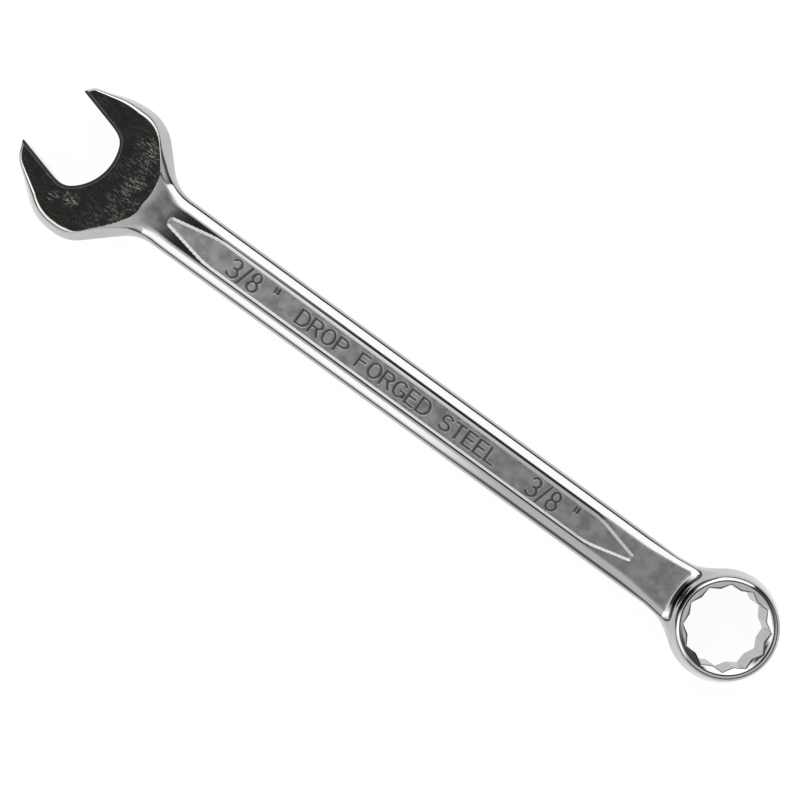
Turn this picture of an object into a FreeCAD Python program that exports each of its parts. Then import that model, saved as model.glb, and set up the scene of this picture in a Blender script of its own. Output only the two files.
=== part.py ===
import FreeCAD, Part
import math
import os

from FreeCAD import Vector

# Combination wrench, 3/8 in, as one drop-forged bar in three zones: a twelve-point box end, a shank
# and an open end. All sizes are in millimetres.
# The origin is on the axis of the box end, in the plane of its underside. +X runs along the shank
# to the open end, and +Z leaves the upper face. The two faces are alike, mirrored in the parting
# plane halfway up.

# The hexagon that both ends fit
BOX_ACROSS_FLATS = 9.65
JAW_OPENING = 9.8

# Box end
RING_THICKNESS = 7.6
RING_RADIUS = 7.35
RING_WALL_TOP = (6.9, 2.8)
RING_SHOULDER = (6.64, 3.5)
RING_LAND_OUTER = 6.15
RING_LAND_INNER = 5.85
COUNTERSINK_DEPTH = 0.6
POINTS = 12

# Shank
SHANK_HALF_WIDTH = 3.8
SHANK_HALF_THICKNESS = 2.2
SHANK_WALL_TOP = (3.77, 1.27)
SHANK_SHOULDER = (3.08, 1.92)
SHANK_FLAT_HALF_WIDTH = 2.02
SHANK_BAR_LENGTH = 92.8
RING_NECK_RADIUS = 5.3
RING_NECK_HALF_THICKNESS = 1.7

# Sunken panel in each face of the shank
PANEL_DEPTH = 0.25
PANEL_HALF_WIDTH = 1.85
PANEL_RING_TIP = 14.95
PANEL_RING_SHOULDER = 20.8
PANEL_HEAD_SHOULDER = 81.0
PANEL_HEAD_TIP = 87.7
PANEL_TIP_HALF_WIDTH = 0.35
PANEL_TIP_ROUNDING = 0.3
PANEL_SHOULDER_ROUNDING = 12.0

# Open end
HEAD_CENTRE = (98.8, 0.0)
HEAD_HALF_THICKNESS = 2.65
HEAD_SHOULDER = 2.0
HEAD_WALL_INSET = 0.6
HEAD_FACE_INSET = 1.15
HEAD_FACE_CENTRE = (99.5, -1.2)
HEAD_FACE_RADIUS = 8.0
HEAD_FACE_SLOPE = 2.4
JAW_ANGLE = 15.0
THROAT_RADIUS = 6.45
THROAT_DISTANCE = 5.6
THROAT_OFFSET = 0.13
THROAT_CORNER = 0.8

# Outline of the open end at the parting plane, as corners (x, y, radius), against the clock
HEAD_OUTLINE = [
    (80.0, -3.8, 0.0),
    (89.0, -3.8, 5.8),
    (94.9, -10.05, 7.0),
    (100.4, -10.05, 12.0),
    (105.3, -8.15, 1.4),
    (106.2, -6.8, 0.3),
    (108.9, 2.4, 0.3),
    (108.1, 5.1, 1.2),
    (102.1, 10.0, 7.0),
    (97.0, 10.0, 5.0),
    (90.15, 3.8, 5.5),
    (80.0, 3.8, 0.0),
]

# Where the bar is divided into zones
RING_ZONE_END = 9.0
HEAD_ZONE_START = 88.5

MID = RING_THICKNESS / 2
FAR = 200.0


def unit(a, b):
    """The direction from a to b, both (x, y, ...)."""
    length = math.hypot(b[0] - a[0], b[1] - a[1])
    return (b[0] - a[0]) / length, (b[1] - a[1]) / length


def inset_corners(corners, inset):
    """The corners of the outline that lies inset inside this one, arcs kept concentric."""
    moved = []
    for i, (x, y, radius) in enumerate(corners):
        before = unit(corners[i - 1], (x, y))
        after = unit((x, y), corners[(i + 1) % len(corners)])
        turn = before[0] * after[1] - before[1] * after[0]
        shift = inset / (1 + before[0] * after[0] + before[1] * after[1])
        moved_x = x - shift * (before[1] + after[1])
        moved_y = y + shift * (before[0] + after[0])
        moved_radius = radius - math.copysign(inset, turn) if radius else 0.0
        moved.append((moved_x, moved_y, max(moved_radius, 0.02 if radius else 0.0)))
    return moved


def rounded_wire(corners, z):
    """A closed wire at height z with each corner rounded by an arc of its radius."""
    ends = []
    for i, (x, y, radius) in enumerate(corners):
        before = unit(corners[i - 1], (x, y))
        after = unit((x, y), corners[(i + 1) % len(corners)])
        half_turn = math.acos(max(-1.0, min(1.0, before[0] * after[0] + before[1] * after[1]))) / 2
        reach = radius * math.tan(half_turn)
        inward = unit((0, 0), (after[0] - before[0], after[1] - before[1]))
        sag = radius * (1 / math.cos(half_turn) - 1)
        start = Vector(x - reach * before[0], y - reach * before[1], z)
        middle = Vector(x + sag * inward[0], y + sag * inward[1], z)
        end = Vector(x + reach * after[0], y + reach * after[1], z)
        ends.append((start, middle, end))
    edges = []
    for i, (start, middle, end) in enumerate(ends):
        if (end - start).Length > 1e-6:
            edges.append(Part.Arc(start, middle, end).toShape())
        next_start = ends[(i + 1) % len(ends)][0]
        if (next_start - end).Length > 1e-6:
            edges.append(Part.LineSegment(end, next_start).toShape())
    return Part.Wire(edges)


def both_sides(upper):
    """The upper half of a shape, standing on the parting plane, joined with its mirror image."""
    lower = upper.mirror(Vector(0, 0, 0), Vector(0, 0, 1))
    return upper.fuse(lower).removeSplitter()


def prism(wire, bottom, top):
    """The face of a flat wire at height 0, pulled from bottom to top."""
    face = Part.Face(wire)
    face.translate(Vector(0, 0, bottom))
    return face.extrude(Vector(0, 0, top - bottom))


def ring_blank():
    """The box end without its hole: a drafted wall, a round shoulder and a narrow flat land."""
    wall_foot = Vector(RING_RADIUS, 0, 0)
    wall_top = Vector(RING_WALL_TOP[0], 0, RING_WALL_TOP[1])
    shoulder = Vector(RING_SHOULDER[0], 0, RING_SHOULDER[1])
    land = Vector(RING_LAND_OUTER, 0, MID)
    top_centre = Vector(0, 0, MID)
    centre = Vector(0, 0, 0)
    edges = [
        Part.LineSegment(centre, wall_foot).toShape(),
        Part.LineSegment(wall_foot, wall_top).toShape(),
        Part.Arc(wall_top, shoulder, land).toShape(),
        Part.LineSegment(land, top_centre).toShape(),
        Part.LineSegment(top_centre, centre).toShape(),
    ]
    section = Part.Face(Part.Wire(edges))
    return both_sides(section.revolve(Vector(0, 0, 0), Vector(0, 0, 1), 360))


def socket_cutter():
    """The twelve-point hole: two hexagons a twelfth of a turn apart, opened out at both mouths."""
    point_radius = BOX_ACROSS_FLATS / 2 / math.cos(math.pi / 6)
    crest_radius = BOX_ACROSS_FLATS / 2 / math.cos(math.pi / 12)
    corners = []
    for i in range(2 * POINTS):
        radius = crest_radius if i % 2 else point_radius
        angle = math.pi * i / POINTS
        corners.append(Vector(radius * math.cos(angle), radius * math.sin(angle), 0))
    cutter = prism(Part.makePolygon(corners + corners[:1]), -FAR, FAR)
    mouth = Part.makeCone(
        crest_radius - 0.1, RING_LAND_INNER, COUNTERSINK_DEPTH, Vector(0, 0, MID - COUNTERSINK_DEPTH)
    )
    return cutter.fuse(both_sides(mouth))


def shank_bar():
    """The plain bar of the shank, with its round-shouldered section, from end to end."""
    wall = Vector(0, *SHANK_WALL_TOP)
    flat = Vector(0, SHANK_FLAT_HALF_WIDTH, SHANK_HALF_THICKNESS)
    shoulder = Vector(0, *SHANK_SHOULDER)
    side = Vector(0, SHANK_HALF_WIDTH, 0)
    half = [
        Part.LineSegment(side, wall).toShape(),
        Part.Arc(wall, shoulder, flat).toShape(),
        Part.LineSegment(flat, Vector(0, 0, SHANK_HALF_THICKNESS)).toShape(),
    ]
    edges = []
    for flip_y, flip_z in ((1, 1), (-1, 1), (-1, -1), (1, -1)):
        turn = FreeCAD.Matrix()
        turn.scale(1, flip_y, flip_z)
        edges += [edge.transformGeometry(turn) for edge in half]
    section = Part.Face(Part.Wire(Part.__sortEdges__(edges)))
    return section.extrude(Vector(SHANK_BAR_LENGTH, 0, 0))


def ring_neck():
    """The side webs where the shank flares into the box end, each with a hollow arc."""
    reach_y = SHANK_HALF_WIDTH + RING_NECK_RADIUS
    reach_x = math.sqrt((RING_RADIUS + RING_NECK_RADIUS) ** 2 - reach_y**2)
    scale = RING_RADIUS / (RING_RADIUS + RING_NECK_RADIUS)
    sides = []
    for side in (1, -1):
        on_ring = Vector(reach_x * scale, side * reach_y * scale, 0)
        on_shank = Vector(reach_x, side * SHANK_HALF_WIDTH, 0)
        middle_angle = (math.atan2(reach_y, reach_x) + math.pi / 2) / 2
        middle = Vector(
            reach_x - RING_NECK_RADIUS * math.cos(middle_angle),
            side * (reach_y - RING_NECK_RADIUS * math.sin(middle_angle)),
            0,
        )
        sides.append((on_ring, middle, on_shank))
    (ring_a, middle_a, shank_a), (ring_b, middle_b, shank_b) = sides
    edges = [
        Part.Arc(ring_a, middle_a, shank_a).toShape(),
        Part.LineSegment(shank_a, shank_b).toShape(),
        Part.Arc(shank_b, middle_b, ring_b).toShape(),
        Part.LineSegment(ring_b, ring_a).toShape(),
    ]
    return prism(Part.Wire(edges), -RING_NECK_HALF_THICKNESS, RING_NECK_HALF_THICKNESS)


def panel_cutter():
    """The sunken panel of both faces: parallel sides that close to a narrow tip at each end."""
    below = [
        (PANEL_RING_TIP, -PANEL_TIP_HALF_WIDTH, PANEL_TIP_ROUNDING),
        (PANEL_RING_SHOULDER, -PANEL_HALF_WIDTH, PANEL_SHOULDER_ROUNDING),
        (PANEL_HEAD_SHOULDER, -PANEL_HALF_WIDTH, PANEL_SHOULDER_ROUNDING),
        (PANEL_HEAD_TIP, -PANEL_TIP_HALF_WIDTH, PANEL_TIP_ROUNDING),
    ]
    outline = below + [(x, -y, radius) for x, y, radius in reversed(below)]
    floor = SHANK_HALF_THICKNESS - PANEL_DEPTH
    upper = prism(rounded_wire(outline, 0), floor, FAR)
    return upper.fuse(upper.mirror(Vector(0, 0, 0), Vector(0, 0, 1)))


def head_blank():
    """The open end without its gap: a drafted wall, a sloping shoulder and a flat ground face."""
    levels = [(0.0, 0.0), (HEAD_WALL_INSET, HEAD_SHOULDER), (HEAD_FACE_INSET, HEAD_HALF_THICKNESS)]
    wires = [rounded_wire(inset_corners(HEAD_OUTLINE, inset), z) for inset, z in levels]
    halves = [Part.makeLoft([low, high], True, True) for low, high in zip(wires, wires[1:])]
    blank = both_sides(halves[0].fuse(halves[1]))
    # Towards the shank the ground face ends on an arc, and slopes down to the shank's own face.
    rise = HEAD_HALF_THICKNESS - SHANK_HALF_THICKNESS
    height = HEAD_HALF_THICKNESS + 1.0
    slope = HEAD_FACE_SLOPE / rise
    cone = Part.makeCone(
        HEAD_FACE_RADIUS + slope * HEAD_HALF_THICKNESS,
        HEAD_FACE_RADIUS - slope * (height - HEAD_HALF_THICKNESS),
        height,
        Vector(*HEAD_FACE_CENTRE, 0),
    )
    above = Part.makeBox(14.0, 30.0, 5.0, Vector(80.0, -15.0, SHANK_HALF_THICKNESS)).cut(cone)
    return blank.cut(above).cut(above.mirror(Vector(0, 0, 0), Vector(0, 0, 1)))


def jaw_cutter():
    """The gap between the jaws: two parallel flats and a round throat, turned by the jaw angle."""
    half = JAW_OPENING / 2
    depth = math.sqrt(THROAT_RADIUS**2 - half**2)
    low = Vector(-depth, -half, 0)
    high = Vector(-depth, half, 0)
    edges = [
        Part.LineSegment(Vector(FAR, -half, 0), low).toShape(),
        Part.Arc(low, Vector(-THROAT_RADIUS, 0, 0), high).toShape(),
        Part.LineSegment(high, Vector(FAR, half, 0)).toShape(),
        Part.LineSegment(Vector(FAR, half, 0), Vector(FAR, -half, 0)).toShape(),
    ]
    cutter = prism(Part.Wire(edges), -FAR, FAR)
    corners = [e for e in cutter.Edges if is_upright(e) and abs(e.Vertexes[0].X + depth) < 1e-6]
    cutter = cutter.makeFillet(THROAT_CORNER, corners)
    cutter.rotate(Vector(0, 0, 0), Vector(0, 0, 1), -JAW_ANGLE)
    cutter.translate(throat_centre())
    return cutter


def is_upright(edge):
    """True for a straight edge along Z."""
    low, high = edge.Vertexes[0].Point, edge.Vertexes[-1].Point
    return abs(low.x - high.x) < 1e-6 and abs(low.y - high.y) < 1e-6


def throat_centre():
    """The centre of the throat's arc, on the line midway between the flats."""
    turn = math.radians(JAW_ANGLE)
    x = HEAD_CENTRE[0] + THROAT_DISTANCE * math.cos(turn) + THROAT_OFFSET * math.sin(turn)
    y = HEAD_CENTRE[1] - THROAT_DISTANCE * math.sin(turn) + THROAT_OFFSET * math.cos(turn)
    return Vector(x, y, 0)


def forging():
    """The whole bar, centred on its parting plane."""
    bar = shank_bar().fuse(ring_neck()).fuse(ring_blank()).fuse(head_blank())
    bar = bar.cut(panel_cutter())
    bar = bar.cut(socket_cutter())
    return bar.cut(jaw_cutter())


def zone(bar, start, end):
    """The stretch of the bar from X = start to X = end, lifted so that the underside is at Z = 0."""
    piece = bar.common(Part.makeBox(end - start, 2 * FAR, 2 * FAR, Vector(start, -FAR, -FAR)))
    piece.translate(Vector(0, 0, MID))
    return piece


def main():
    os.makedirs("parts", exist_ok=True)
    bar = forging()
    zones = {
        "box_end_ring": (-FAR, RING_ZONE_END),
        "shank": (RING_ZONE_END, HEAD_ZONE_START),
        "open_end_head": (HEAD_ZONE_START, FAR),
    }
    for name, (start, end) in zones.items():
        piece = zone(bar, start, end)
        solids = piece.Solids
        print(name, len(solids), "solid", round(piece.Volume, 2), "mm3", piece.isValid())
        solids[0].exportStep(f"parts/{name}.step")


main()
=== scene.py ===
import math

import bpy
import bmesh
import numpy as np
from mathutils import Matrix, Vector


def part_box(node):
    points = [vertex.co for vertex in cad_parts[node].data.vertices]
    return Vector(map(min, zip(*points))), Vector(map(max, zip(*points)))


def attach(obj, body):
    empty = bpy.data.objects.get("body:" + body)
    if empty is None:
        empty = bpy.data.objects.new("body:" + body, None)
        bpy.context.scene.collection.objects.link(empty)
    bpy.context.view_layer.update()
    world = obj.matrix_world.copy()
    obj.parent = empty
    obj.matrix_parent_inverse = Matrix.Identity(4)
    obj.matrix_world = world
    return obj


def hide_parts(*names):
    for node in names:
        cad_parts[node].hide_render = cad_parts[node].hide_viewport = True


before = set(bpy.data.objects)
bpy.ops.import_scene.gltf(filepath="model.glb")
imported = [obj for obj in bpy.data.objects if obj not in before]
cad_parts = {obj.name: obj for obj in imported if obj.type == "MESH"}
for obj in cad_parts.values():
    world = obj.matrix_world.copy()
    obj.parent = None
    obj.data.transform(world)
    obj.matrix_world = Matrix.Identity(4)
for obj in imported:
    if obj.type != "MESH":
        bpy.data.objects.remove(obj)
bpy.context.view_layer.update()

# The looks of a 3/8 in combination wrench. The skin of the forging is worked out as the zero level
# of one signed distance, in millimetres about the parting plane, and then cut into the CAD's zones.

MM = 0.001

# ---------------------------------------------------------------------------------------------
# Driving dimensions, in millimetres
# ---------------------------------------------------------------------------------------------

RING_LOW, RING_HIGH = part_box("box_end_ring")
HEAD_LOW, HEAD_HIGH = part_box("open_end_head")
MID_Z = (RING_LOW.z + RING_HIGH.z) / 2 / MM
RING_ZONE_END = RING_HIGH.x / MM
HEAD_ZONE_START = HEAD_LOW.x / MM

# Box end. Drafts are slopes: how far a wall leans in for each millimetre of height.
BOX_ACROSS_FLATS = 9.65
POINT_BLEND = 0.1
RING_HALF = (RING_HIGH.z - RING_LOW.z) / 2 / MM
RING_RADIUS = -RING_LOW.x / MM
RING_DRAFT = 0.185
RING_SHOULDER = 0.8
MOUTH_RADIUS = 5.85
MOUTH_ANGLE = math.radians(29.0)
MOUTH_REACH = 10.0
CREST_BLEND = 0.45

# Shank. The growth, shrinkage and flare each say where along X they start and are full, and how much
# they come to. RAIL_CENTRE is how far to each side the centre of the rail's round lies.
SHANK_HALF_WIDTH = 3.8
SHANK_HALF = 2.2
RAIL_RADIUS = 2.17
RAIL_CENTRE = 1.97
SIDE_DRAFT = 0.05
SIDE_BLEND = 0.35
RAIL_GROWTH = (86.0, 91.0, 0.2)
RAIL_SHRINKAGE = (15.0, 9.0, 0.3)
NECK_FLARE = (10.5, 6.5, 0.35)
NECK_FILLET_SIDE = 1.6
NECK_FILLET_TOP = 1.4
NECK_FILLET_RISE = 2.1
NECK_FILLET_END = 40.0

# Sunken panel, as corners (x, y, radius). PANEL_REACH is a box round it: x from, x to, and y each way.
# LOWEST_PANEL is the height above the parting plane from which it counts, RAMP_ROUNDING the share of
# its wall that is rounded at each end, and FLOOR_DEPTH the share of its depth where its floor starts.
PANEL_DEPTH = 0.15
PANEL_WALL = 0.4
RAMP_ROUNDING = 0.3
PANEL_REACH = (14.5, 88.1, 2.1)
LOWEST_PANEL = 1.0
FLOOR_DEPTH = 0.99
PANEL_OUTLINE = [
    (14.75, -0.5, 0.35),
    (20.8, -2.0, 12.0),
    (81.0, -2.0, 14.0),
    (87.85, -0.6, 0.6),
    (87.85, 0.6, 0.6),
    (81.0, 2.0, 14.0),
    (20.8, 2.0, 12.0),
    (14.75, 0.5, 0.35),
]

# Stamped marks
MARK_DEPTH = 0.05
MARK_STROKE = 0.3
MARK_EDGE = 0.2
LETTER_MARGIN = 0.5
FAR_AWAY = 9.0

# Open end. HEAD_DRAFT is the wall's draft on the head and on its neck, and where along X the one
# starts to give way to the other and has done so. HEAD_NECK is where the shoulder starts to widen
# into the rails and has done so, with its draft and inset there. LONG_SIDE_FACE is the round that
# bounds the face on the longer jaw's side: centre x and y, radius, and the least y where it counts.
HEAD_CENTRE = (98.8, 0.0)
HEAD_HALF = (HEAD_HIGH.z - HEAD_LOW.z) / 2 / MM
HEAD_DRAFT = (0.295, 0.48, 97.5, 92.5)
HEAD_NECK = (95.5, 89.0, 0.2, 2.0)
HEAD_FACE_INSET = 1.15
HEAD_SHOULDER_ANGLE = math.radians(28.0)
HEAD_SHOULDER_BLEND = 0.5
HEAD_FACE_EDGE = 0.1
HEAD_FACE_CENTRE = (99.5, -1.2)
HEAD_FACE_RADIUS = 8.0
LONG_SIDE_FACE = (110.2, -7.4, 20.6, 1.5)
LONG_SIDE_BLEND = 2.0
HEAD_SLOPE_LENGTH = 3.2
HEAD_SLOPE_START = (96.5, 93.0)
LONG_SIDE_SHOULDER = (94.5, 98.0)
HEAD_MORPH = (87.0, 92.5)
OUTLINE_MARGIN = 2.0
TIP_TAPER = 6.5
TIP_TAPER_POWER = 0.8
# The outline's corners are (x, y, radius), and these two are the tips of the jaws.
SHORT_TIP = 5
LONG_TIP = 6
HEAD_OUTLINE = [
    (0.0, -SHANK_HALF_WIDTH, 0.0),
    (89.4, -SHANK_HALF_WIDTH, 5.8),
    (95.3, -10.05, 6.4),
    (100.4, -10.05, 12.0),
    (105.3, -8.15, 1.4),
    (106.2, -6.8, 0.3),
    (108.9, 2.4, 0.3),
    (108.1, 5.1, 4.0),
    (102.1, 10.0, 7.0),
    (97.0, 10.0, 5.0),
    (90.15, SHANK_HALF_WIDTH, 5.5),
    (0.0, SHANK_HALF_WIDTH, 0.0),
]

# Gap between the jaws. The throat's centre is measured from HEAD_CENTRE, along and across the gap.
JAW_OPENING = 9.8
JAW_ANGLE = math.radians(15.0)
THROAT_RADIUS = 6.45
THROAT_DISTANCE = 5.6
THROAT_OFFSET = 0.13
THROAT_CORNER = 1.4
CUT_EDGE = 0.3

# Grid of the surface: the size of a cell, the cells along a block's side, how far from a block's
# middle the surface is looked for, in block sides, and the step that slopes are measured over
CELL = 0.13
BLOCK = 4
BLOCK_REACH = 1.35
SLOPE_STEP = 0.01
# How many points, and how many blocks, are worked on at once
POINT_BATCH = 400_000
BLOCK_BATCH = 4000
# Moving points onto the surface: how often, the share of a cell that one move may reach, and the
# least square of a slope that a move divides by
SETTLE_ROUNDS = 4
SETTLE_REACH = 0.4
LEAST_SLOPE = 0.2
# Longer than any distance on the wrench
ENDLESS = 1e9

# ---------------------------------------------------------------------------------------------
# Signed distances: negative inside the metal
# ---------------------------------------------------------------------------------------------


def soft_max(a, b, width):
    """The larger of two distances, rounded where they differ by less than width."""
    near = np.maximum(width - np.abs(a - b), 0.0) / width
    return np.maximum(a, b) + near**3 * width / 6


def rounded_max(a, b, radius):
    """The overlap of two solids with its edge rounded to this radius."""
    outside = np.hypot(np.maximum(a + radius, 0.0), np.maximum(b + radius, 0.0))
    return np.minimum(np.maximum(a, b), -radius) + outside


def soft_min(a, b, width):
    """The smaller of two distances, rounded where they differ by less than width."""
    return -soft_max(-a, -b, width)


def fillet_union(a, b, radius):
    """The union of two solids with a hollow fillet of this radius between them."""
    hollow = np.hypot(np.maximum(radius - a, 0.0), np.maximum(radius - b, 0.0))
    return np.maximum(radius, np.minimum(a, b)) - hollow


def ease(t):
    """A smooth step from 0 to 1."""
    t = np.clip(t, 0.0, 1.0)
    return t * t * (3 - 2 * t)


def rounded_outline(corners):
    """The straight runs and arcs of a closed outline given by corners (x, y, radius)."""
    points = np.array([c[:2] for c in corners], float)
    radii = np.array([c[2] for c in corners], float)
    before = points - np.roll(points, 1, 0)
    before /= np.linalg.norm(before, axis=1)[:, None]
    after = np.roll(before, -1, 0)
    turn = before[:, 0] * after[:, 1] - before[:, 1] * after[:, 0]
    half_turn = np.arccos(np.clip((before * after).sum(1), -1, 1)) / 2
    reach = radii * np.tan(half_turn)
    starts = points - reach[:, None] * before
    ends = points + reach[:, None] * after
    normals = np.stack([-before[:, 1], before[:, 0]], 1) * np.sign(turn)[:, None]
    centres = starts + radii[:, None] * normals
    arcs = []
    for i in range(len(corners)):
        if radii[i] > 0:
            middle = points[i] - centres[i]
            middle /= np.linalg.norm(middle)
            arcs.append((centres[i], radii[i], middle, math.cos(half_turn[i]), np.sign(turn[i])))
    runs = [(ends[i], np.roll(starts, -1, 0)[i]) for i in range(len(corners))]
    return runs, arcs


def outline_distance(x, y, outline):
    """Signed distance to a rounded outline that runs against the clock."""
    runs, arcs = outline
    nearest = np.full(x.shape, ENDLESS)
    signed = np.full(x.shape, ENDLESS)
    for start, end in runs:
        along = end - start
        length = math.hypot(*along)
        along = along / length
        px, py = x - start[0], y - start[1]
        t = np.clip(px * along[0] + py * along[1], 0.0, length)
        away = np.hypot(px - t * along[0], py - t * along[1])
        side = np.where(px * along[1] - py * along[0] > 0, 1.0, -1.0)
        closer = away < nearest
        nearest = np.where(closer, away, nearest)
        signed = np.where(closer, away * side, signed)
    for centre, radius, middle, cosine, turn in arcs:
        px, py = x - centre[0], y - centre[1]
        reach = np.hypot(px, py)
        facing = px * middle[0] + py * middle[1] >= reach * cosine
        away = np.where(facing, np.abs(reach - radius), ENDLESS)
        closer = away < nearest
        nearest = np.where(closer, away, nearest)
        signed = np.where(closer, (reach - radius) * turn, signed)
    return signed


HEAD_PATH = rounded_outline(HEAD_OUTLINE)
PANEL_PATH = rounded_outline(PANEL_OUTLINE)

# ---------------------------------------------------------------------------------------------
# Stamped marks: single strokes on a letter 1 high, as lines (x, y, x, y, ...) and arcs
# ("arc", centre x, centre y, radius x, radius y, from degrees, to degrees)
# ---------------------------------------------------------------------------------------------

GLYPHS = {
    "D": (0.6, [(0.28, 0, 0, 0, 0, 1, 0.28, 1), ("arc", 0.28, 0.5, 0.32, 0.5, 90, -90)]),
    "R": (0.58, [(0, 0, 0, 1, 0.32, 1), ("arc", 0.32, 0.75, 0.25, 0.25, 90, -90), (0.32, 0.5, 0, 0.5),
                 (0.3, 0.5, 0.58, 0)]),
    "O": (0.64, [("arc", 0.32, 0.5, 0.32, 0.5, 0, 360)]),
    "P": (0.57, [(0, 0, 0, 1, 0.3, 1), ("arc", 0.3, 0.73, 0.27, 0.27, 90, -90), (0.3, 0.46, 0, 0.46)]),
    "F": (0.5, [(0, 0, 0, 1, 0.5, 1), (0, 0.52, 0.42, 0.52)]),
    "G": (0.64, [("arc", 0.33, 0.5, 0.33, 0.5, 45, 345), (0.4, 0.44, 0.64, 0.44, 0.64, 0.1)]),
    "E": (0.52, [(0.52, 0, 0, 0, 0, 1, 0.52, 1), (0, 0.52, 0.45, 0.52)]),
    "S": (0.56, [("arc", 0.28, 0.75, 0.26, 0.25, 30, 270), ("arc", 0.28, 0.25, 0.28, 0.25, 90, -150)]),
    "T": (0.56, [(0, 1, 0.56, 1), (0.28, 1, 0.28, 0)]),
    "L": (0.48, [(0, 1, 0, 0, 0.48, 0)]),
    "3": (0.52, [("arc", 0.24, 0.75, 0.24, 0.25, 150, -90), ("arc", 0.24, 0.26, 0.28, 0.26, 90, -150)]),
    "8": (0.54, [("arc", 0.27, 0.76, 0.22, 0.24, 0, 360), ("arc", 0.27, 0.26, 0.27, 0.26, 0, 360)]),
    "/": (0.3, [(0, -0.06, 0.3, 1.06)]),
    '"': (0.26, [(0.04, 1, 0.04, 0.72), (0.22, 1, 0.22, 0.72)]),
    " ": (0.42, []),
}
GLYPH_GAP = 0.2
CHORD_TURN = 12
# Each line of marks: text, where it starts and ends along X, and its height. Letters stand with
# their tops towards -Y on the upper face and read towards the box end.
SIZE_MARKS = [('3/8 "', 77.9, 70.9, 2.5), ('3/8 "', 30.8, 23.7, 2.5)]
UPPER_MARKS = [SIZE_MARKS[0], ("DROP FORGED STEEL", 67.2, 36.2, 1.95), SIZE_MARKS[1]]
LOWER_MARKS = SIZE_MARKS


def glyph_runs(strokes):
    """The straight runs of a glyph's strokes, arcs cut into short chords."""
    runs = []
    for stroke in strokes:
        if stroke[0] == "arc":
            _, cx, cy, rx, ry, first, last = stroke
            turns = np.radians(np.linspace(first, last, 2 + int(abs(last - first) / CHORD_TURN)))
            path = np.stack([cx + rx * np.cos(turns), cy + ry * np.sin(turns)], 1)
        else:
            path = np.array(stroke, float).reshape(-1, 2)
        runs += list(zip(path[:-1], path[1:]))
    return runs


def line_of_marks(text, start, end, height):
    """The runs of each letter of a line of marks, set out from start to end along X."""
    natural = sum(GLYPHS[c][0] + GLYPH_GAP for c in text) - GLYPH_GAP
    stretch = (start - end) / natural
    cursor = 0.0
    letters = []
    for c in text:
        width, strokes = GLYPHS[c]
        runs = [
            [(start - (cursor + px) * stretch, (0.5 - py) * height) for px, py in run]
            for run in glyph_runs(strokes)
        ]
        if runs:
            letters.append(np.array(runs))
        cursor += width + GLYPH_GAP
    return letters


UPPER_LETTERS = [letter for line in UPPER_MARKS for letter in line_of_marks(*line)]
LOWER_LETTERS = [letter for line in LOWER_MARKS for letter in line_of_marks(*line)]


def letters_distance(x, y, letters):
    """Distance to the edge of the strokes of these letters."""
    nearest = np.full(x.shape, FAR_AWAY)
    for runs in letters:
        low = runs.min((0, 1)) - LETTER_MARGIN
        high = runs.max((0, 1)) + LETTER_MARGIN
        near = np.flatnonzero((x > low[0]) & (x < high[0]) & (y > low[1]) & (y < high[1]))
        if not len(near):
            continue
        px, py = x[near], y[near]
        for (ax, ay), (bx, by) in runs:
            along_x = bx - ax
            along_y = by - ay
            t = ((px - ax) * along_x + (py - ay) * along_y) / (along_x**2 + along_y**2)
            t = np.clip(t, 0.0, 1.0)
            away = np.hypot(px - ax - t * along_x, py - ay - t * along_y)
            nearest[near] = np.minimum(nearest[near], away)
    return nearest - MARK_STROKE / 2


def marks_distance(x, y, z):
    """Distance to the strokes on the face that z is on. The lower face reads from below."""
    upper = z > 0
    nearest = np.full(x.shape, FAR_AWAY)
    nearest[upper] = letters_distance(x[upper], y[upper], UPPER_LETTERS)
    nearest[~upper] = letters_distance(x[~upper], -y[~upper], LOWER_LETTERS)
    return nearest


def hexagon(x, y, turn):
    """Distance outside a hexagon of the wrench's size, with a flat facing the angle turn."""
    apothem = BOX_ACROSS_FLATS / 2
    sides = [turn + i * math.pi / 3 for i in range(3)]
    return np.maximum.reduce([np.abs(x * math.cos(a) + y * math.sin(a)) for a in sides]) - apothem


def ring(x, y, height):
    """The box end without its hole, and the cone of the hole's mouth."""
    radius = np.hypot(x, y)
    lean = math.hypot(1.0, RING_DRAFT)
    wall = (radius - RING_RADIUS + RING_DRAFT * height) / lean
    body = rounded_max(wall, height - RING_HALF, RING_SHOULDER)
    mouth = (MOUTH_RADIUS - radius) * math.sin(MOUTH_ANGLE) + (height - RING_HALF) * math.cos(MOUTH_ANGLE)
    return body, mouth


def where_needed(function, needed, rest, *arrays):
    """function of the arrays where needed is true, and rest elsewhere."""
    result = np.array(np.broadcast_to(rest, needed.shape), float)
    if needed.any():
        result[needed] = function(*[a[needed] for a in arrays])
    return result


def soft_ramp(t):
    """A straight ramp from 0 to 1 with rounded ends."""
    t = np.clip(t, 0.0, 1.0)
    curve = RAMP_ROUNDING
    rise = np.where(t < curve, t * t / (2 * curve), t - curve / 2)
    rise = np.where(t > 1 - curve, 1 - curve - (1 - t) ** 2 / (2 * curve), rise)
    return rise / (1 - curve)


def panel_share(x, y):
    """How much of the panel's full depth is reached, from 0 at its rim to 1 on its floor."""
    return soft_ramp(-outline_distance(x, y, PANEL_PATH) / PANEL_WALL)


def by_panel(x, y, height):
    """Whether each point is close to a face of the shank within the panel's box."""
    start, end, side = PANEL_REACH
    return (np.abs(y) < side) & (x > start) & (x < end) & (height > LOWEST_PANEL)


def sunk(x, y, z):
    """How far the panel and its struck marks lie below the rails."""
    panel = panel_share(x, y)
    on_floor = panel > FLOOR_DEPTH
    stroke = where_needed(marks_distance, on_floor, FAR_AWAY, x, y, z)
    marks = ease(0.5 - stroke / MARK_EDGE)
    return PANEL_DEPTH * panel + MARK_DEPTH * marks


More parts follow.
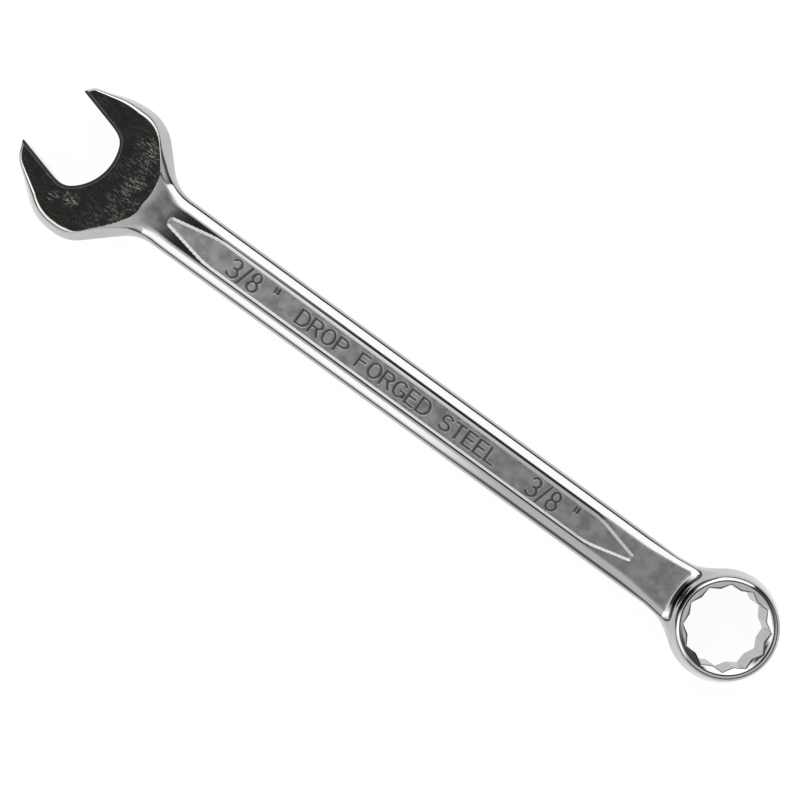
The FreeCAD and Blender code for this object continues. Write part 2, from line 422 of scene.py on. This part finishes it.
def shank(x, y, z, height, edge):
    """The shank's round rails and sunken panel, for an outline at the distance edge."""
    start, end, growth = RAIL_GROWTH
    grown = 1 + growth * ease((x - start) / (end - start))
    start, end, shrinkage = RAIL_SHRINKAGE
    grown = grown - shrinkage * ease((start - x) / (start - end))
    radius = RAIL_RADIUS * grown
    outward = np.maximum(edge + (SHANK_HALF_WIDTH - RAIL_CENTRE) * grown, 0.0)
    rail = np.hypot(outward, np.maximum(height - SHANK_HALF + radius, 0.0)) - radius
    side = edge + SIDE_DRAFT * height
    body = soft_max(rail, side, SIDE_BLEND)
    sinking = where_needed(sunk, by_panel(x, y, height), 0.0, x, y, z)
    return np.maximum(body, height - SHANK_HALF + sinking)


def head(x, y, height, edge):
    """The open end without its gap: drafted wall, bright shoulder and flat ground face."""
    short_tip = np.array(HEAD_OUTLINE[SHORT_TIP][:2])
    long_tip = np.array(HEAD_OUTLINE[LONG_TIP][:2])
    across = (long_tip - short_tip) / np.linalg.norm(long_tip - short_tip)
    from_tips = (y - short_tip[1]) * across[0] - (x - short_tip[0]) * across[1]
    taper = np.clip(from_tips / TIP_TAPER, 0.0, 1.0) ** TIP_TAPER_POWER
    plain, leaning, start, end = HEAD_DRAFT
    neck_start, neck_end, neck_draft, neck_inset = HEAD_NECK
    neck = ease((neck_start - x) / (neck_start - neck_end))
    draft = plain + (leaning - plain) * ease((start - x) / (start - end))
    draft = draft + (neck_draft - draft) * neck
    wall = (edge + taper * draft * height) / np.hypot(1.0, draft)
    start, end = LONG_SIDE_SHOULDER
    sharp = ease((end - x) / (end - start)) * (y > 0)
    inset = taper * HEAD_FACE_INSET * (1 - sharp)
    inset = inset + (neck_inset - inset) * neck
    shoulder = (edge + inset) * math.sin(HEAD_SHOULDER_ANGLE)
    shoulder = shoulder + (height - HEAD_HALF) * math.cos(HEAD_SHOULDER_ANGLE)
    away = np.hypot(x - HEAD_FACE_CENTRE[0], y - HEAD_FACE_CENTRE[1]) - HEAD_FACE_RADIUS
    centre_x, centre_y, radius, start = LONG_SIDE_FACE
    long_side = soft_max(np.hypot(x - centre_x, y - centre_y) - radius, start - y, LONG_SIDE_BLEND)
    away = soft_min(away, long_side, LONG_SIDE_BLEND)
    away = np.clip(away / HEAD_SLOPE_LENGTH, 0.0, 1.0)
    start, full = HEAD_SLOPE_START
    drop = (HEAD_HALF - SHANK_HALF) * (1 - (1 - away) ** 2) * ease((start - x) / (start - full))
    face = height - HEAD_HALF + drop
    sides = soft_max(wall, shoulder, HEAD_SHOULDER_BLEND)
    return soft_max(sides, face, HEAD_FACE_EDGE)


def jaw_gap(x, y):
    """Distance outside the gap between the jaws."""
    forward = np.array([math.cos(JAW_ANGLE), -math.sin(JAW_ANGLE)])
    across = np.array([math.sin(JAW_ANGLE), math.cos(JAW_ANGLE)])
    centre = np.array(HEAD_CENTRE) + THROAT_DISTANCE * forward + THROAT_OFFSET * across
    u = (x - centre[0]) * forward[0] + (y - centre[1]) * forward[1]
    v = (x - centre[0]) * across[0] + (y - centre[1]) * across[1]
    throat = np.where(u < 0, np.hypot(u, v), np.abs(v)) - THROAT_RADIUS
    return soft_max(np.abs(v) - JAW_OPENING / 2, throat, THROAT_CORNER)


def head_edge(x, y):
    """Signed distance to the outline of the open end and the shank."""
    return outline_distance(x, y, HEAD_PATH)


def wrench(points):
    """Signed distance of the whole wrench at points (n, 3), about the parting plane."""
    x, y, z = points[:, 0], points[:, 1], points[:, 2]
    height = np.abs(z)
    start, end, flare = NECK_FLARE
    half_width = SHANK_HALF_WIDTH + flare * ease((start - x) / (start - end))
    edge = np.maximum(np.abs(y) - half_width, -x)
    edge = where_needed(head_edge, x > HEAD_MORPH[0] - OUTLINE_MARGIN, edge, x, y)
    morph = ease((x - HEAD_MORPH[0]) / (HEAD_MORPH[1] - HEAD_MORPH[0]))
    bar = (1 - morph) * shank(x, y, z, height, edge) + morph * head(x, y, height, edge)
    body, mouth = ring(x, y, height)
    rise = np.clip(height / NECK_FILLET_RISE, 0.0, 1.0)
    fillet = NECK_FILLET_SIDE + (NECK_FILLET_TOP - NECK_FILLET_SIDE) * rise
    whole = np.where(x < NECK_FILLET_END, fillet_union(body, bar, fillet), bar)
    whole = np.where(x < MOUTH_REACH, soft_max(whole, mouth, CREST_BLEND), whole)
    hole = soft_min(hexagon(x, y, 0.0), hexagon(x, y, math.pi / 6), POINT_BLEND)
    whole = soft_max(whole, -hole, CUT_EDGE)
    return soft_max(whole, -jaw_gap(x, y), CUT_EDGE)


# ---------------------------------------------------------------------------------------------
# Surface of the distance as quads
# ---------------------------------------------------------------------------------------------


def in_batches(function, points):
    """function of many points, a batch at a time."""
    starts = range(0, len(points), POINT_BATCH)
    return np.concatenate([function(points[start : start + POINT_BATCH]) for start in starts])


def gradient(points, step):
    """Gradient of the wrench's distance by central differences."""
    slopes = np.empty_like(points)
    for axis in range(3):
        shift = np.zeros(3)
        shift[axis] = step
        slopes[:, axis] = wrench(points + shift) - wrench(points - shift)
    return slopes / (2 * step)


def near_blocks(low, counts):
    """The blocks of cells that the surface may cross, as index triples."""
    size = BLOCK * CELL
    grid = np.stack(np.meshgrid(*[np.arange(n) for n in counts], indexing="ij"), -1).reshape(-1, 3)
    values = in_batches(wrench, low + (grid + 0.5) * size)
    return grid[np.abs(values) < size * BLOCK_REACH]


def surface():
    """Vertices (mm) and quads of the wrench's surface, one vertex in each crossed cell."""
    size = BLOCK * CELL
    low = np.array([RING_LOW.x / MM, HEAD_LOW.y / MM, -RING_HALF]) - size
    high = np.array([HEAD_HIGH.x / MM, HEAD_HIGH.y / MM, RING_HALF]) + size
    # The parting plane is a plane of the grid, so that both faces are cut alike.
    low[2] = math.floor(low[2] / size) * size
    counts = np.ceil((high - low) / size).astype(int)
    blocks = near_blocks(low, counts)
    steps = np.arange(BLOCK + 1)
    local = np.stack(np.meshgrid(steps, steps, steps, indexing="ij"), -1).reshape(-1, 3)
    cells = counts * BLOCK + 1

    def cell_id(index):
        return (index[..., 0] * cells[1] + index[..., 1]) * cells[2] + index[..., 2]

    corner_offsets = np.array([(i, j, k) for i in (0, 1) for j in (0, 1) for k in (0, 1)])
    cell_edges = [
        (a, b) for a in range(8) for b in range(a + 1, 8)
        if np.abs(corner_offsets[a] - corner_offsets[b]).sum() == 1
    ]
    ids, spots, crossings = [], [], ([], [], [])
    for start in range(0, len(blocks), BLOCK_BATCH):
        some = blocks[start : start + BLOCK_BATCH]
        corners = some[:, None, :] * BLOCK + local[None]
        values = in_batches(wrench, (low + corners * CELL).reshape(-1, 3))
        values = values.reshape(len(some), BLOCK + 1, BLOCK + 1, BLOCK + 1)
        base = (some[:, None, :] * BLOCK).reshape(-1, 1, 1, 1, 3)
        inner = local.reshape(BLOCK + 1, BLOCK + 1, BLOCK + 1, 3)[:-1, :-1, :-1]
        index = base + inner[None]
        eight = np.stack(
            [values[:, i : i + BLOCK, j : j + BLOCK, k : k + BLOCK] for i, j, k in corner_offsets], -1
        )
        inside = eight < 0
        active = inside.any(-1) & ~inside.all(-1)
        v = eight[active]
        total = np.zeros((len(v), 3))
        number = np.zeros(len(v))
        for a, b in cell_edges:
            cross = (v[:, a] < 0) != (v[:, b] < 0)
            share = np.where(cross, v[:, a] / np.where(cross, v[:, a] - v[:, b], 1.0), 0.0)
            spot = corner_offsets[a] + share[:, None] * (corner_offsets[b] - corner_offsets[a])
            total += np.where(cross[:, None], spot, 0.0)
            number += cross
        ids.append(cell_id(index[active]))
        spots.append(low + (index[active] + total / number[:, None]) * CELL)
        for axis in range(3):
            other = [1 if i == axis else 0 for i in range(3)]
            far = eight[..., other[0] * 4 + other[1] * 2 + other[2]]
            near = eight[..., 0]
            cross = (near < 0) != (far < 0)
            crossings[axis].append(np.column_stack([index[cross], near[cross] < 0]))
    ids = np.concatenate(ids)
    points = np.concatenate(spots)
    order = np.argsort(ids)
    ids, points = ids[order], points[order]
    quads = []
    for axis in range(3):
        found = np.concatenate(crossings[axis])
        at, leaving = found[:, :3], found[:, 3].astype(bool)
        step_b = np.eye(3, dtype=int)[(axis + 1) % 3]
        step_c = np.eye(3, dtype=int)[(axis + 2) % 3]
        around = np.stack(
            [cell_id(at), cell_id(at - step_b), cell_id(at - step_b - step_c), cell_id(at - step_c)], 1
        )
        around[~leaving] = around[~leaving][:, ::-1]
        quads.append(np.searchsorted(ids, around))
    return points, np.concatenate(quads)


def settle(points):
    """Moves points onto the surface along its gradient."""
    for _ in range(SETTLE_ROUNDS):
        for start in range(0, len(points), POINT_BATCH):
            some = points[start : start + POINT_BATCH]
            slope = gradient(some, SLOPE_STEP)
            away = wrench(some)[:, None] * slope / np.maximum((slope**2).sum(1), LEAST_SLOPE)[:, None]
            reach = np.linalg.norm(away, axis=1)[:, None]
            some -= away * np.minimum(1.0, SETTLE_REACH * CELL / np.maximum(reach, 1e-9))
    return points


# ---------------------------------------------------------------------------------------------
# Finish: how satin or ground each point of the skin is, and how much shade is painted on it
# ---------------------------------------------------------------------------------------------

# A neck's satin: along X where it starts, is full, starts to fade and ends; how far to each side it
# starts to fade and ends; and how upright the normal must be for it to start and be full
RING_NECK_SATIN = (7.3, 7.8, 19.5, 22.5, 3.2, 3.7, 0.96, 0.99)
HEAD_NECK_SATIN = (84.2, 90.0, 92.5, 93.5, 3.5, 5.0, 0.9, 0.96)
HEAD_NECK_SHARE = 0.9
# How far below the head's top the ground face's finish starts, and the height it takes to be full
GROUND_START = 0.06
GROUND_RISE = 0.03
# The share of the panel's depth from which its satin is full
PANEL_SATIN_FULL = 0.3
# Painted shade in the strokes, half-way up the panel's wall and on the walls of the hole
STROKE_SHADE = 0.9
PANEL_WALL_SHADE = 0.27
HOLE_SHADE = 0.45
# How far past a stroke's edge its painted shade goes, as a share of MARK_EDGE
SHADE_SPREAD = 0.8
# How upright the normal may be on the hole's walls for their painted shade to start, and to be full
HOLE_WALL = (0.5, 0.2)
# The painted shade along the jaw gap's rim: how wide it is, how soft, and how far down it goes
RIM_SHADE_WIDTH = 0.5
RIM_SHADE_SOFTNESS = 0.2
RIM_SHADE_HEIGHT = 0.3


def neck_satin(x, y, upright, neck):
    """The share of satin on a neck, with soft edges."""
    start, full, fading, end, side_fading, side_end, least, enough = neck
    along = ease((x - start) / (full - start)) * ease((end - x) / (end - fading))
    across = ease((side_end - np.abs(y)) / (side_end - side_fading))
    return ease((upright - least) / (enough - least)) * along * across


def finish_and_shade_of(points, normals):
    """The share of satin and ground face at each point, and how much shade is painted there."""
    x, y, z = points.T
    height = np.abs(z)
    upright = np.abs(normals[:, 2])
    on_head = x > HEAD_ZONE_START
    ring_neck = neck_satin(x, y, upright, RING_NECK_SATIN)
    head_neck = HEAD_NECK_SHARE * neck_satin(x, y, upright, HEAD_NECK_SATIN)
    face = np.clip((height - HEAD_HALF + GROUND_START) / GROUND_RISE, 0.0, 1.0) * on_head
    inside = by_panel(x, y, height) & (height < SHANK_HALF)
    share = where_needed(panel_share, inside, 0.0, x, y)
    sunken = ease(share / PANEL_SATIN_FULL)
    stroke = where_needed(marks_distance, inside, FAR_AWAY, x, y, z)
    # Painted shade in the strokes of the marks, reaching a little past their edges
    stroke_shade = STROKE_SHADE * ease(SHADE_SPREAD - stroke / MARK_EDGE)
    # Painted shade half-way down the panel's wall, dimming its bright band
    wall_shade = PANEL_WALL_SHADE * 4 * share * (1 - share)
    # Painted shade along the rim of the jaw gap, over the bright rounding of its edge
    on_rim = on_head & (height > HEAD_HALF - RIM_SHADE_HEIGHT)
    rim = ease((RIM_SHADE_WIDTH - where_needed(jaw_gap, on_rim, FAR_AWAY, x, y)) / RIM_SHADE_SOFTNESS)
    # Painted shade on the steep walls of the hole
    start, full = HOLE_WALL
    hole_wall = ease((start - upright) / (start - full)) * (np.hypot(x, y) < MOUTH_RADIUS)
    # All the painted shade together: darker colour in the strokes, on the panel's wall, along the jaw gap's
    # rim and on the hole's walls
    painted_shade = np.maximum.reduce([stroke_shade, wall_shade, rim, HOLE_SHADE * hole_wall])
    satin = np.maximum.reduce([ring_neck, sunken, head_neck])
    return np.where(face > 0, 0.0, satin), face, painted_shade


# ---------------------------------------------------------------------------------------------
# Pieces: the skin cut into the CAD's zones
# ---------------------------------------------------------------------------------------------


def whole_mesh():
    """The skin of the whole forging, in the row frame."""
    points, quads = surface()
    points = settle(points)
    mesh = bpy.data.meshes.new("forging")
    mesh.from_pydata(((points + [0, 0, MID_Z]) * MM).tolist(), [], quads.tolist())
    return mesh


def cut(shape, plane, keep_above):
    """Cuts the skin at a plane across X, keeps one side of it and closes that with a flat cap."""
    bmesh.ops.bisect_plane(
        shape, geom=shape.verts[:] + shape.edges[:] + shape.faces[:], dist=1e-9,
        plane_co=(plane * MM, 0, 0), plane_no=(1, 0, 0),
        clear_inner=keep_above, clear_outer=not keep_above,
    )
    rim = [e for e in shape.edges if e.is_boundary]
    for cap in bmesh.ops.contextual_create(shape, geom=rim)["faces"]:
        cap.smooth = False
        cap.normal_update()
        if (cap.normal.x > 0) == keep_above:
            cap.normal_flip()


def zone_mesh(name, whole, start, end):
    """The stretch of the skin between two planes across X. Only its caps are flat-shaded."""
    shape = bmesh.new()
    shape.from_mesh(whole)
    for face in shape.faces:
        face.smooth = True
    if start is not None:
        cut(shape, start, True)
    if end is not None:
        cut(shape, end, False)
    mesh = bpy.data.meshes.new(name)
    shape.to_mesh(mesh)
    shape.free()
    return mesh


def dress(mesh):
    """Gives a mesh its finish and painted shade at each vertex and the exact normals of the surface."""
    points = np.empty(len(mesh.vertices) * 3, np.float32)
    mesh.vertices.foreach_get("co", points)
    points = points.reshape(-1, 3).astype(float) / MM - [0, 0, MID_Z]
    normals = in_batches(lambda some: gradient(some, 2 * SLOPE_STEP), points)
    normals /= np.linalg.norm(normals, axis=1)[:, None]
    for attribute, values in zip(("satin", "ground", "painted_shade"), finish_and_shade_of(points, normals)):
        layer = mesh.attributes.new(attribute, "FLOAT", "POINT")
        layer.data.foreach_set("value", values.astype(np.float32))
    corner_vertex = np.empty(len(mesh.loops), np.int32)
    mesh.loops.foreach_get("vertex_index", corner_vertex)
    corner_normals = normals[corner_vertex]
    for polygon in mesh.polygons:
        if not polygon.use_smooth:
            corner_normals[polygon.loop_start : polygon.loop_start + polygon.loop_total] = polygon.normal
            polygon.use_smooth = True
    mesh.normals_split_custom_set(corner_normals.tolist())


def zone_piece(name, whole, start, end, material):
    """The object of one zone, in its material."""
    mesh = zone_mesh(name, whole, start, end)
    dress(mesh)
    mesh.materials.append(material)
    piece = bpy.data.objects.new(name, mesh)
    bpy.context.scene.collection.objects.link(piece)
    return piece


# ---------------------------------------------------------------------------------------------
# Materials
# ---------------------------------------------------------------------------------------------


class Nodes:
    """Short calls to make and link the nodes of one tree."""

    def __init__(self, tree):
        self.tree = tree
        tree.nodes.clear()

    def add(self, kind, inputs=(), **settings):
        node = self.tree.nodes.new(kind)
        for key, value in settings.items():
            setattr(node, key, value)
        for key, value in dict(inputs).items():
            if isinstance(value, bpy.types.NodeSocket):
                self.tree.links.new(value, node.inputs[key])
            else:
                node.inputs[key].default_value = value
        return node

    def math(self, operation, a, b=0.0):
        return self.add("ShaderNodeMath", {0: a, 1: b}, operation=operation).outputs[0]

    def mix(self, share, a, b):
        return self.add("ShaderNodeMix", {0: share, 2: a, 3: b}).outputs[0]

    def ramp(self, value, low, high, from_value=0.0, to_value=1.0):
        inputs = {0: value, 1: low, 2: high, 3: from_value, 4: to_value}
        return self.add("ShaderNodeMapRange", inputs, interpolation_type="SMOOTHSTEP").outputs[0]


# Noises: how fine, how detailed, how stretched along each axis, and how rough
GRAIN = (4200, 2)
CLOUDS = (700, 3)
PATCHES = (600, 2)
LONG_STREAKS = (4800, 3, (0.16, 1, 1), 0.6)
SHORT_STREAKS = (3600, 3)
SHORT_SHARE = 0.4
# The values of a noise that count as none and as full, and for the patches the wear they leave
CLOUD_RANGE = (0.3, 0.7)
STREAK_RANGE = (0.4, 0.62)
PATCH_RANGE = (0.3, 0.55, 0.3, 1.0)
# Bumps: their distance in metres, and how much of it each finish has
BUMP_DISTANCE = 4e-6
MIRROR_BUMP = 0.02
SATIN_BUMP = 1.2
SCUFF_BUMP = 0.4
CHROME_TINT = (0.47, 0.47, 0.475, 1)
GROUND_TINT = (0.48, 0.465, 0.435, 1)
# The near-black colour where shade is painted
SHADE_TINT = (0.03, 0.03, 0.033, 1)
# Each roughness is a pair: where its clouds are smoothest and where they are roughest
MIRROR_ROUGHNESS = (0.05, 0.08)
SATIN_ROUGHNESS = (0.28, 0.35)
# The ground face: smooth and scuffed
GROUND_ROUGHNESS = (0.05, 0.35)
# The roughness where shade is painted
SHADE_ROUGHNESS = 0.4
# Where along X the ground face is worn least and most, in millimetres, and its share there
WEAR = (98.5, 93.5, 0.25, 0.6)
# Spots on the ground face that are scuffed the most: x, y and reach in millimetres
SCUFFED_SPOTS = [(99.3, 5.1, 1.7), (101.3, 6.2, 1.2), (94.2, -1.6, 2.4), (95.0, -6.0, 2.4)]
SPOT_WEAR = 0.75
# The share of a spot's reach within which it is full
SPOT_CORE = 0.4


def wear(n, place):
    """How worn the ground face is at each place."""
    x_mm = n.math("MULTIPLY", n.add("ShaderNodeSeparateXYZ", {0: place}).outputs[0], 1 / MM)
    flat_place = n.add("ShaderNodeVectorMath", {0: place, 1: (1, 1, 0)}, operation="MULTIPLY").outputs[0]
    worn = n.ramp(x_mm, *WEAR)
    for spot_x, spot_y, reach in SCUFFED_SPOTS:
        ends = {0: flat_place, 1: (spot_x * MM, spot_y * MM, 0)}
        from_spot = n.add("ShaderNodeVectorMath", ends, operation="DISTANCE").outputs["Value"]
        spot = n.ramp(from_spot, reach * MM, SPOT_CORE * reach * MM, 0.0, SPOT_WEAR)
        worn = n.math("MAXIMUM", worn, spot)
    return worn


def chrome(name):
    """Chrome plate: mirror on the rails, satin on the flats, scuffed on the ground faces."""
    material = bpy.data.materials.new(name)
    material.use_nodes = True
    n = Nodes(material.node_tree)
    place = n.add("ShaderNodeTexCoord").outputs["Object"]
    satin = n.add("ShaderNodeAttribute", attribute_name="satin").outputs["Fac"]
    ground = n.add("ShaderNodeAttribute", attribute_name="ground").outputs["Fac"]
    painted_shade = n.add("ShaderNodeAttribute", attribute_name="painted_shade").outputs["Fac"]

    def noise(scale, detail, stretch=(1, 1, 1), roughness=0.5):
        spot = n.add("ShaderNodeMapping", {"Vector": place, "Scale": stretch}).outputs[0]
        inputs = {"Vector": spot, "Scale": scale, "Detail": detail, "Roughness": roughness}
        return n.add("ShaderNodeTexNoise", inputs).outputs["Fac"]

    grain = noise(*GRAIN)
    cloud = noise(*CLOUDS)
    streaks = n.mix(SHORT_SHARE, noise(*LONG_STREAKS), noise(*SHORT_STREAKS))
    patches = noise(*PATCHES)
    worn = n.math("MULTIPLY", wear(n, place), n.ramp(patches, *PATCH_RANGE))
    scuffed = n.math("MULTIPLY", n.ramp(streaks, *STREAK_RANGE), worn)
    mirror_rough = n.ramp(cloud, *CLOUD_RANGE, *MIRROR_ROUGHNESS)
    satin_rough = n.ramp(cloud, *CLOUD_RANGE, *SATIN_ROUGHNESS)
    rough = n.mix(satin, mirror_rough, satin_rough)
    rough = n.mix(ground, rough, n.mix(scuffed, *GROUND_ROUGHNESS))
    rough = n.mix(painted_shade, rough, SHADE_ROUGHNESS)
    # Painted shade: where it is high, the colour goes to near-black over the metal
    unshaded = n.math("SUBTRACT", 1.0, painted_shade)
    bump_height = n.math("MULTIPLY", grain, n.mix(satin, MIRROR_BUMP, SATIN_BUMP))
    bump_height = n.mix(ground, bump_height, n.math("MULTIPLY", scuffed, SCUFF_BUMP))
    bump = n.add("ShaderNodeBump", {"Strength": 1.0, "Distance": BUMP_DISTANCE, "Height": bump_height})
    metal = n.add("ShaderNodeMix", {0: ground, 6: CHROME_TINT, 7: GROUND_TINT}, data_type="RGBA")
    colour = n.add("ShaderNodeMix", {0: unshaded, 6: SHADE_TINT, 7: metal.outputs[2]}, data_type="RGBA")
    shader = n.add("ShaderNodeBsdfPrincipled", {
        "Base Color": colour.outputs[2], "Metallic": 1.0, "Roughness": rough, "Normal": bump.outputs[0],
    })
    n.add("ShaderNodeOutputMaterial", {"Surface": shader.outputs[0]})
    return material


# ---------------------------------------------------------------------------------------------
# Studio: a pale lit floor, a soft tent overhead and the camera
# ---------------------------------------------------------------------------------------------

DEGREES = 180 / math.pi
FLOOR_SIZE = 3.0
FLOOR_GLOW = 0.94
FLOOR_SHARE = 0.08
# How bright the parts of the tent are: its end, the rest, and what its dark parts leave of that
TENT_LIGHT = 2.0
TENT_SHADE = 0.9
HOOD_LIGHT = 0.02
HORIZON_LIGHT = 0.2
SLIT_LIGHT = 0.03
SIDE_SHADE_LIGHT = 0.12
# Where the tent changes, as degrees from straight up or degrees of azimuth from its axis
HOOD = (10.0, 34.0)
HOOD_LEAN = 3.0
HOOD_SQUASH = 1.9
HORIZON = (58.0, 68.0)
END_LIGHT = (58.0, 75.0)
END_TURN = 12.0
END_HEIGHT = (52.0, 68.0)
SLIT = (13.0, 30.0)
SLIT_HEIGHT = (24.0, 40.0)
SIDE_SHADE = (30.0, 58.0)
SIDE_SHADE_TURN = 112.0
SIDE_SHADE_HEIGHT = (40.0, 55.0)
# Near the horizon the side shade is turned and narrowed by these degrees
LOW_SHADE_TURN = 15.0
LOW_SHADE_LOSS = 12.0
# Each card: a corner, one edge and the other in metres, its light, and how it fades: where along X it
# is dimmest and where full, and its share there
NEAR_CARD = ((-0.04, -0.105, 0.27), (0.23, 0, 0), (0, -0.17, -0.187), 1.95, (-0.04, -0.025, 0.0, 1.0))
FAR_CARD = ((0.27, 0.13, 0.27), (-0.255, 0, 0), (0, 0.145, -0.187), 1.15, (0.016, 0.048, 0.0, 1.0))
CAMERA_PLACE = (50.5, 1.1, 282.0)
CAMERA_TURN = math.radians(36.17)
CAMERA_LENS = 99.0
CAMERA_SENSOR = 36.0
CAMERA_CLIP = (0.01, 10.0)


def floor():
    """A pale floor that gives its own even light, as a light table does."""
    shape = bmesh.new()
    bmesh.ops.create_grid(shape, x_segments=2, y_segments=2, size=FLOOR_SIZE / 2)
    mesh = bpy.data.meshes.new("floor")
    shape.to_mesh(mesh)
    shape.free()
    board = bpy.data.objects.new("floor", mesh)
    bpy.context.scene.collection.objects.link(board)
    material = bpy.data.materials.new("floor")
    material.use_nodes = True
    n = Nodes(material.node_tree)
    glow = n.add("ShaderNodeEmission", {"Color": (1, 1, 1, 1), "Strength": FLOOR_GLOW})
    paper = n.add("ShaderNodeBsdfDiffuse", {"Color": (FLOOR_SHARE, FLOOR_SHARE, FLOOR_SHARE, 1)})
    both = n.add("ShaderNodeAddShader", {0: glow.outputs[0], 1: paper.outputs[0]})
    n.add("ShaderNodeOutputMaterial", {"Surface": both.outputs[0]})
    mesh.materials.append(material)


def tent():
    """The world: a bright tent with a dark opening straight above, where the camera stands."""
    world = bpy.data.worlds.new("tent")
    bpy.context.scene.world = world
    world.use_nodes = True
    n = Nodes(world.node_tree)
    direction = n.add("ShaderNodeTexCoord").outputs["Generated"]
    part = n.add("ShaderNodeSeparateXYZ", {0: direction}).outputs
    from_top = n.math("MULTIPLY", n.math("ARCCOSINE", part[2]), DEGREES)
    lean = math.radians(HOOD_LEAN)
    over_x = n.math("SUBTRACT", part[0], math.sin(lean))
    over_y = n.math("MULTIPLY", part[1], HOOD_SQUASH)
    squares = n.math("ADD", n.math("POWER", over_x, 2.0), n.math("POWER", over_y, 2.0))
    from_hood = n.math("MULTIPLY", n.math("SQRT", squares), DEGREES)
    azimuth = n.math("MULTIPLY", n.math("ARCTAN2", part[1], part[0]), DEGREES)
    hood = n.ramp(from_hood, *HOOD, HOOD_LIGHT, 1.0)
    horizon = n.ramp(from_top, *HORIZON, 1.0, HORIZON_LIGHT)
    sideways = n.math("ABSOLUTE", n.math("ADD", azimuth, END_TURN))
    end_height = n.ramp(from_top, *END_HEIGHT, 1.0, 0.0)
    end_share = n.math("MULTIPLY", n.ramp(sideways, *END_LIGHT, 1.0, 0.0), end_height)
    end_light = n.mix(end_share, TENT_SHADE, TENT_LIGHT)
    above_slit = n.ramp(from_top, *SLIT_HEIGHT, 1.0, 0.0)
    slit = n.math("MAXIMUM", n.ramp(n.math("ABSOLUTE", azimuth), *SLIT, SLIT_LIGHT, 1.0), above_slit)
    low = n.ramp(from_top, *SIDE_SHADE_HEIGHT)
    turned = n.math("ADD", azimuth, SIDE_SHADE_TURN)
    turned = n.math("SUBTRACT", turned, n.math("MULTIPLY", low, LOW_SHADE_TURN))
    aside = n.math("ADD", n.math("ABSOLUTE", turned), n.math("MULTIPLY", low, LOW_SHADE_LOSS))
    shade = n.ramp(aside, *SIDE_SHADE, SIDE_SHADE_LIGHT, 1.0)
    strength = n.math("MULTIPLY", n.math("MULTIPLY", hood, horizon), n.math("MULTIPLY", slit, shade))
    strength = n.math("MULTIPLY", strength, end_light)
    seen = n.add("ShaderNodeLightPath").outputs["Is Camera Ray"]
    strength = n.mix(seen, strength, 1.0)
    background = n.add("ShaderNodeBackground", {"Color": (1, 1, 1, 1), "Strength": strength})
    n.add("ShaderNodeOutputWorld", {"Surface": background.outputs[0]})


def card(name, corner, along, down, radiance, fade):
    """A soft light card, from its corner along one edge and down the other, in metres. It fades along X."""
    corner, along, down = Vector(corner), Vector(along), Vector(down)
    light = bpy.data.lights.new(name, "AREA")
    light.shape = "RECTANGLE"
    light.size, light.size_y = along.length, down.length
    light.energy = radiance * math.pi * along.length * down.length
    light.use_nodes = True
    n = Nodes(light.node_tree)
    position = n.add("ShaderNodeNewGeometry").outputs["Position"]
    along_x = n.add("ShaderNodeSeparateXYZ", {0: position}).outputs[0]
    glow = n.add("ShaderNodeEmission", {"Color": (1, 1, 1, 1), "Strength": n.ramp(along_x, *fade)})
    n.add("ShaderNodeOutputLight", {"Surface": glow.outputs[0]})
    lamp = bpy.data.objects.new(name, light)
    bpy.context.scene.collection.objects.link(lamp)
    across, up = along.normalized(), -down.normalized()
    turn = Matrix((across, up, across.cross(up))).transposed().to_4x4()
    lamp.matrix_world = Matrix.Translation(corner + along / 2 + down / 2) @ turn
    lamp.visible_camera = False


def camera():
    """The camera straight above the middle of the wrench, turned so that the open end is at upper left."""
    data = bpy.data.cameras.new("camera")
    data.lens = CAMERA_LENS
    data.sensor_width = CAMERA_SENSOR
    eye = bpy.data.objects.new("camera", data)
    bpy.context.scene.collection.objects.link(eye)
    x, y, above = CAMERA_PLACE
    eye.location = Vector((x, y, MID_Z + above)) * MM
    right = Vector((-math.cos(CAMERA_TURN), -math.sin(CAMERA_TURN), 0))
    upward = Vector((math.sin(CAMERA_TURN), -math.cos(CAMERA_TURN), 0))
    back = right.cross(upward)
    turn = Matrix((right, upward, back)).transposed()
    eye.rotation_mode = "QUATERNION"
    eye.rotation_quaternion = turn.to_quaternion()
    data.clip_start, data.clip_end = CAMERA_CLIP
    bpy.context.scene.camera = eye


def main():
    camera()
    tent()
    floor()
    card("near_card", *NEAR_CARD)
    card("far_card", *FAR_CARD)
    whole = whole_mesh()
    zones = [
        ("box_end_ring", None, RING_ZONE_END, "polished_chrome"),
        ("shank", RING_ZONE_END, HEAD_ZONE_START, "satin_chrome"),
        ("open_end_head", HEAD_ZONE_START, None, "ground_chrome"),
    ]
    for node, start, end, finish in zones:
        piece = zone_piece(node + "_skin", whole, start, end, chrome(finish))
        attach(piece, "root")
        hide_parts(node)
    bpy.data.meshes.remove(whole)
    bpy.context.scene.view_settings.view_transform = "Standard"


main()
